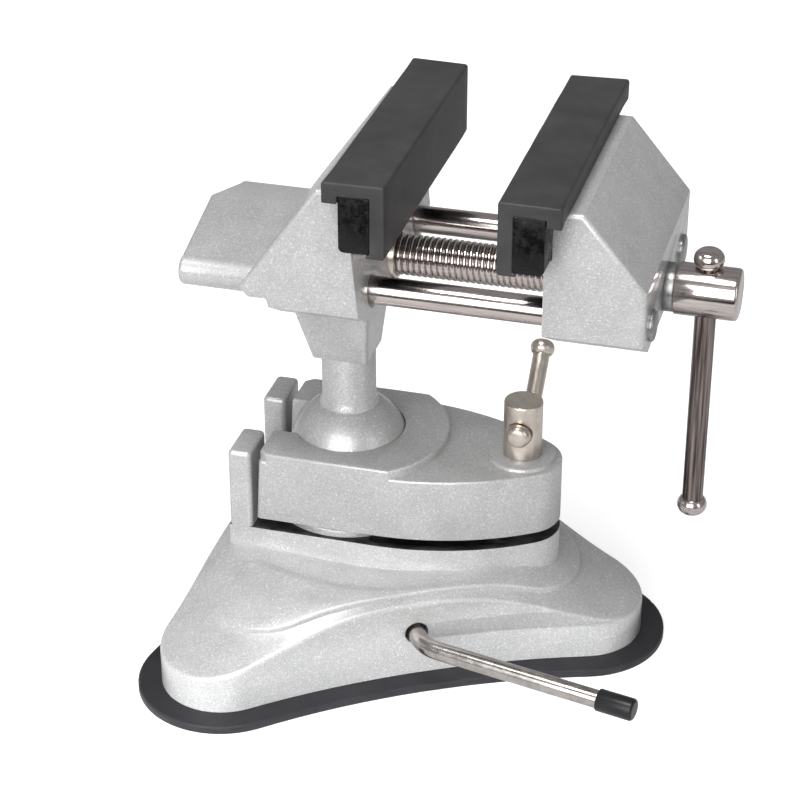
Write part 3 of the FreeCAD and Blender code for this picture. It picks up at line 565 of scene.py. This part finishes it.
def covered_by_plate(centre, normal):
    """Mask for painted shade: the pedestal's flat top, and the floor and walls of its sunk pocket."""
    x, y, z = (value / MM for value in centre)
    tapered_half_width = 32.5 - 0.45 * x
    in_pocket = 0 < x < pocket_length_mm and abs(y) < min(pocket_half_width_mm, tapered_half_width)
    inward = normal.y * y < 0 or (x > 40 and normal.x < 0)
    if normal.z > 0.9:
        on_floor = in_pocket and pocket_floor_low_mm < z < pocket_floor_high_mm
        return deck_low_mm < z < deck_high_mm or on_floor
    upright = abs(normal.z) < 0.1
    return pocket_wall_low_mm < z < deck_low_mm and upright and (in_pocket or inward)


def refinish(piece, material, test):
    """Give the faces that pass a test another finish."""
    piece.data.materials.append(material)
    select_only(piece)
    pick(piece, "FACE", test)
    piece.active_material_index = 1
    bpy.ops.object.material_slot_assign()
    leave_edit()
    print(piece.name, "refinished faces:", sum(face.material_index == 1 for face in piece.data.polygons))


# painted shade on the pedestal's deck and pocket and on the clamp plate's underside, where the gap is in
# shadow
refinish(bpy.data.objects["base_casting_cast"], painted_shade_metal, covered_by_plate)
plate_underside = box_of("clamp_plate")[0].z + 0.2 * MM
refinish(
    bpy.data.objects["clamp_plate_cast"], painted_shade_metal,
    lambda centre, normal: normal.z < -0.9 and centre.z < plate_underside,
)

# %% [markdown]
# ## The lead screw
#
# The screw that drives the moving jaw has a rolled thread of 1.75 mm pitch with rounded crests.  It
# could be faked with a bump map, but its outline shows against the white behind it, so it is real:
# an eight-sided ring stands for the section of one ridge, and a Screw modifier winds it along the
# axis, half sunk into a plain core.

# %% Wind the thread
thread_pitch = 1.75 * MM
crest_radius = 6.0 * MM
root_radius = 5.35 * MM
ridge_half_width = 0.47 * thread_pitch
washer_low, washer_high = box_of("thrust_washer")
thread_start = screw_low.x + 1.5 * MM
turns = int((washer_low.x - thread_start) / thread_pitch)

bpy.ops.object.select_all(action="DESELECT")
bpy.ops.mesh.primitive_circle_add(
    vertices=8, radius=ridge_half_width,
    location=(thread_start, 0, screw_axis_z), rotation=(math.pi / 2, 0, 0),
)
ridge = bpy.context.view_layer.objects.active
ridge.name = "thread"
bpy.ops.object.transform_apply(location=False, rotation=True, scale=True)
bpy.ops.object.mode_set(mode="EDIT")
bpy.ops.mesh.select_all(action="SELECT")
bpy.ops.transform.resize(value=(1, 1, (crest_radius - root_radius) / ridge_half_width))
bpy.ops.transform.translate(value=(0, 0, root_radius))
leave_edit()
wind = ridge.modifiers.new("wind", "SCREW")
wind.axis = "X"
wind.screw_offset = thread_pitch
wind.iterations = turns
wind.steps = 28
wind.render_steps = 28
apply_all(ridge)
bpy.ops.object.transform_apply(location=True, rotation=True, scale=True)
bpy.ops.object.mode_set(mode="EDIT")
bpy.ops.mesh.select_mode(type="EDGE")
bpy.ops.mesh.select_all(action="DESELECT")
bpy.ops.mesh.select_non_manifold()
bpy.ops.mesh.fill()
bpy.ops.mesh.select_all(action="SELECT")
bpy.ops.mesh.normals_make_consistent(inside=False)
leave_edit()
print("turns of thread:", turns, "faces:", len(ridge.data.polygons))

# %% Add the core of the screw and its turned head
head_radius = (screw_high.z - screw_low.z) / 2


def bar_along_x(name, start, end, radius, sides=48):
    """A plain round bar along X on the lead screw's axis."""
    bpy.ops.object.select_all(action="DESELECT")
    bpy.ops.mesh.primitive_cylinder_add(
        vertices=sides, radius=radius, depth=end - start,
        location=((start + end) / 2, 0, screw_axis_z), rotation=(0, math.pi / 2, 0),
    )
    return added(name)


core = bar_along_x("core", screw_low.x, washer_high.x, root_radius)
pick(core, "FACE", lambda c, n: n.x < -0.9)
bpy.ops.mesh.bevel(offset=0.8 * MM, segments=1)
leave_edit()
head = bar_along_x("head", washer_high.x, screw_high.x, head_radius, sides=96)
pick(head, "EDGE", lambda c, d: abs(c.x - screw_high.x) < 0.01 * MM and abs(d.x) < 0.5)
bpy.ops.mesh.bevel(offset=1.1 * MM, segments=4)
leave_edit()
pick(head, "EDGE", lambda c, d: abs(c.x - washer_high.x) < 0.01 * MM and abs(d.x) < 0.5)
bpy.ops.mesh.bevel(offset=0.5 * MM, segments=2)
leave_edit()
select_only(core, head, ridge)
bpy.ops.object.join()
lead_screw = bpy.context.view_layer.objects.active
lead_screw.name = "threaded_lead_screw"
bpy.ops.object.shade_smooth_by_angle(angle=math.radians(50))
finish_piece(lead_screw, "lead_screw")

# %% [markdown]
# ## The jaw covers
#
# Each jaw plate wears a hooked channel of soft rubber.  A real one is never quite straight: its
# faces swell by a tenth of a millimetre, and the hook stands out at one end where it was pulled
# over the plate.  The solid is a straight channel, so its skin is copied, cut across into short
# lengths that can bend, rounded along its edges, and then made uneven with a slow cloud pattern.
# The swelling also lifts the top a little, so the cover is scaled back to its height at the end.

# %% Model the rubber covers
slow_clouds = bpy.data.textures.new("slow_clouds", "CLOUDS")
slow_clouds.noise_scale = 18.0 * MM
slow_clouds.noise_depth = 1


def cut_across(piece, low, high, count):
    """Cut a piece into equal lengths along Y."""
    bpy.ops.object.mode_set(mode="EDIT")
    for step in range(1, count):
        bpy.ops.mesh.select_all(action="SELECT")
        bpy.ops.mesh.bisect(plane_co=(0, low + (high - low) * step / count, 0), plane_no=(0, 1, 0))
    leave_edit()


def make_uneven(piece, depth_mm):
    """Move the skin in and out by half of this depth at most."""
    swell = piece.modifiers.new("swell", "DISPLACE")
    swell.texture = slow_clouds
    swell.texture_coords = "LOCAL"
    swell.strength = depth_mm * MM
    swell.mid_level = 0.5
    apply_all(piece)


def rubber_cover(node, name, hook_side):
    """hook_side is -1 or 1: the side along X that the hook of this cover is on."""
    cover = copied(node, name)
    low, high = box_of(node)
    middle_x = (low.x + high.x) / 2
    cut_across(cover, low.y, high.y, 15)
    soften(cover, 0.7, segments=4)
    make_uneven(cover, 0.3)
    top = max(vertex.co.z for vertex in cover.data.vertices)
    pick(cover, "VERT", lambda co, n: True)
    bpy.ops.transform.resize(value=(1, 1, (high.z - low.z) / (top - low.z)), center_override=(0, 0, low.z))
    leave_edit()
    for end_y, pull in ((high.y, 0.9 * MM), (low.y, -0.3 * MM)):
        pick(
            cover, "VERT",
            lambda co, n: abs(co.y - end_y) < 1.2 * MM and hook_side * (co.x - middle_x) > 3 * MM,
        )
        bpy.ops.transform.translate(value=(hook_side * 0.25 * MM, pull, 0))
        leave_edit()
    bpy.ops.object.shade_smooth_by_angle(angle=math.radians(40))
    return finish_piece(cover, node)


rubber_cover("fixed_jaw_cover", "fixed_cover_rubber", -1)
rubber_cover("moving_jaw_cover", "moving_cover_rubber", 1)

# %% [markdown]
# ## The cap on the lever
#
# The cap is vinyl that was dipped and then pushed on, so its open rim is rolled out a little.  The
# closed end is the largest flat face of the solid, and its normal tells which way the cap points.
# The ring of points at the other end is picked by its distance along that line and scaled up.

# %% Roll out the cap's rim
cap = copied("lever_grip", "lever_cap")
end_face = max(cap.data.polygons, key=lambda face: face.area)
cap_axis = end_face.normal.copy()
cap_end = end_face.center.copy()
rim_at = min(vertex.co.dot(cap_axis) for vertex in cap.data.vertices)
rim_centre = cap_end + cap_axis * (rim_at - cap_end.dot(cap_axis))
bpy.ops.object.mode_set(mode="EDIT")
bpy.ops.mesh.select_all(action="SELECT")
bpy.ops.mesh.bisect(plane_co=rim_centre + cap_axis * 0.8 * MM, plane_no=cap_axis)
leave_edit()
pick(
    cap, "VERT",
    lambda co, n: co.dot(cap_axis) < rim_at + 0.1 * MM and (co - rim_centre).length > 3.0 * MM,
)
bpy.ops.transform.resize(value=(1.07, 1.07, 1.07), center_override=rim_centre)
leave_edit()
soften(cap, 0.2, segments=2, angle=40.0)
finish_piece(cap, "lever_grip")

# %% [markdown]
# ## Everything else that is round
#
# Rods, knobs, bars and the pad are right as they are, and only need their skins welded so that the
# light runs round them without a break.

# %% Weld and smooth the remaining pieces
round_edges_mm = {
    "suction_pad": 0.25,
    "fixed_jaw_plate": 0.4,
    "moving_jaw_plate": 0.4,
    "suction_lever": 0.0,
    "clamp_screw": 0.2,
    "clamp_bar": 0.0,
    "clamp_bar_knobs": 0.3,
    "near_guide_rod": 0.0,
    "far_guide_rod": 0.0,
    "thrust_washer": 0.2,
    "lead_nut": 0.2,
    "handle_bar": 0.0,
    "handle_top_knob": 0.4,
    "handle_bottom_knob": 0.4,
}
for node_name, width in round_edges_mm.items():
    skin = copied(node_name, node_name + "_skin")
    if width:
        soften(skin, width, segments=2, angle=40.0)
    else:
        bpy.ops.object.shade_smooth_by_angle(angle=math.radians(40))
    finish_piece(skin, node_name)

# %% Give three pieces a brighter metal than their slot's
brighter = {
    "suction_lever_skin": lever_metal,
    "handle_top_knob_skin": finishes["bright_chrome"],
    "handle_bottom_knob_skin": finishes["bright_chrome"],
}
for piece_name, metal in brighter.items():
    bpy.data.objects[piece_name].data.materials[0] = metal
print("brighter:", sorted(brighter))

# %% Dull the riveted ends of the guide rods
jaw_back = box_of("moving_jaw")[1].x - 0.05 * MM
for side in ("near", "far"):
    refinish(
        bpy.data.objects[side + "_guide_rod_skin"], finishes["plain_steel"],
        lambda centre, normal: centre.x > jaw_back,
    )

# %% [markdown]
# ## Floor, light and camera
#
# The vise stands on a white sweep in soft light.  The main lamp is a large softbox in front, low
# enough to fill the near walls, which is why they are paler than the tops.  A small softbox above
# draws the bright lines on the edges, and a slim lamp near the floor lifts the wall of the foot.
# Chrome only looks like chrome when it has something dark to mirror, so a black board lies on the
# floor in front, where only reflections can see it.
#
# The sweep glows a little, but for the camera alone: that makes it white without more light.

# %% Build the sweep and its white background
sweep_glow = 0.62


def white_sweep():
    """Matt white paper that glows for the camera alone."""
    material, tree, shader = new_finish(
        "white_sweep", {"Base Color": linear("#c9c9c9"), "Roughness": 0.9, "Specular IOR Level": 0.1}
    )
    path = add_node(tree, "ShaderNodeLightPath")
    seen = add_node(
        tree, "ShaderNodeMath", {"operation": "MULTIPLY", 1: sweep_glow}, {0: (path, "Is Camera Ray")}
    )
    tree.links.new(seen.outputs[0], shader.inputs["Emission Strength"])
    shader.inputs["Emission Color"].default_value = (1, 1, 1, 1)
    return material


bpy.ops.object.select_all(action="DESELECT")
bpy.ops.mesh.primitive_plane_add(size=12.0, location=(0, 0, solid_box[0].z - 0.05 * MM))
floor = added("floor")
floor.data.materials.append(white_sweep())

room_light = 0.34
world = bpy.data.worlds.new("studio")
bpy.context.scene.world = world
world.use_nodes = True
sky = world.node_tree
background = sky.nodes["Background"]
path = add_node(sky, "ShaderNodeLightPath")
shown = add_node(
    sky, "ShaderNodeMath", {"operation": "MAXIMUM"},
    {0: (path, "Is Camera Ray"), 1: (path, "Is Transmission Ray")},
)
strength = add_node(sky, "ShaderNodeMapRange", {"To Min": room_light, "To Max": 1.0}, {"Value": (shown, 0)})
sky.links.new(strength.outputs["Result"], background.inputs["Strength"])
background.inputs["Color"].default_value = (1, 1, 1, 1)
print("room light:", room_light, "sweep glow:", sweep_glow)

# %% Set the lamps and the black board
def panel(name, place, aim, width, height, watts):
    """A soft rectangular lamp that faces a point."""
    light = bpy.data.lights.new(name, "AREA")
    light.shape = "RECTANGLE"
    light.size = width
    light.size_y = height
    light.energy = watts
    lamp = bpy.data.objects.new(name, light)
    bpy.context.scene.collection.objects.link(lamp)
    lamp.location = place
    lamp.rotation_euler = (Vector(aim) - Vector(place)).to_track_quat("-Z", "Y").to_euler()
    return lamp


def black_felt():
    """Black wool felt, matt, with a slow change of tone across the cloth."""
    material, tree, shader = new_finish("black_felt", {"Roughness": 0.9, "Specular IOR Level": 0.1})
    place = add_node(tree, "ShaderNodeTexCoord")
    weave = add_node(
        tree, "ShaderNodeTexNoise", {"Scale": per_size(20.0), "Detail": 3.0}, {"Vector": (place, "Object")}
    )
    black = colour_ramp(tree, weave, "Fac", [(0.3, "#141414"), (0.7, "#202020")])
    tree.links.new(black.outputs["Color"], shader.inputs["Base Color"])
    return material


middle = (0.01, 0.0, 0.08)
panel("softbox_front", (-0.08, -1.15, 0.6), middle, 1.1, 0.9, 16.5)
panel("softbox_above", (-0.1, -0.3, 1.2), middle, 0.6, 0.3, 10.0)
panel("panel_left", (-1.1, -0.35, 0.55), middle, 0.5, 0.5, 0.3)
panel("panel_right", (1.1, -0.5, 0.5), middle, 0.4, 0.8, 2.0)
foot_light = panel("foot_light", (-0.12, -0.75, 0.02), (0.0, -0.04, -0.035), 0.6, 0.02, 0.7)
foot_light.data.spread = math.radians(10)
foot_light.visible_glossy = False
bpy.ops.object.select_all(action="DESELECT")
board_place = (0, -0.8, 0.001)
board_size = (2.4, 0.9, 1)
bpy.ops.mesh.primitive_plane_add(size=1.0, location=board_place)
board = added("board_on_floor")
select_only(board)
bpy.ops.transform.resize(value=board_size, center_override=board_place)
bpy.ops.object.transform_apply(location=True, rotation=True, scale=True)
board.data.materials.append(black_felt())
board.visible_camera = False
board.visible_shadow = False
board.visible_diffuse = False

# %% Set the camera
camera_azimuth = 15.5
camera_elevation = 29.7
camera_distance = 0.7058
camera_target = Vector((0.0060, 0.0020, 0.0696))
azimuth, elevation = math.radians(camera_azimuth), math.radians(camera_elevation)
towards_camera = Vector((
    math.sin(azimuth) * math.cos(elevation), -math.cos(azimuth) * math.cos(elevation), math.sin(elevation)
))
camera_data = bpy.data.cameras.new("camera")
camera_data.sensor_width = 36.0
camera_data.lens = 107.5
camera_data.clip_start = 0.01
camera = bpy.data.objects.new("camera", camera_data)
bpy.context.scene.collection.objects.link(camera)
camera.location = camera_target + towards_camera * camera_distance
camera.rotation_euler = (-towards_camera).to_track_quat("-Z", "Y").to_euler()
bpy.context.scene.camera = camera
bpy.context.scene.view_settings.view_transform = "Standard"
print("camera at", [round(v, 3) for v in camera.location])
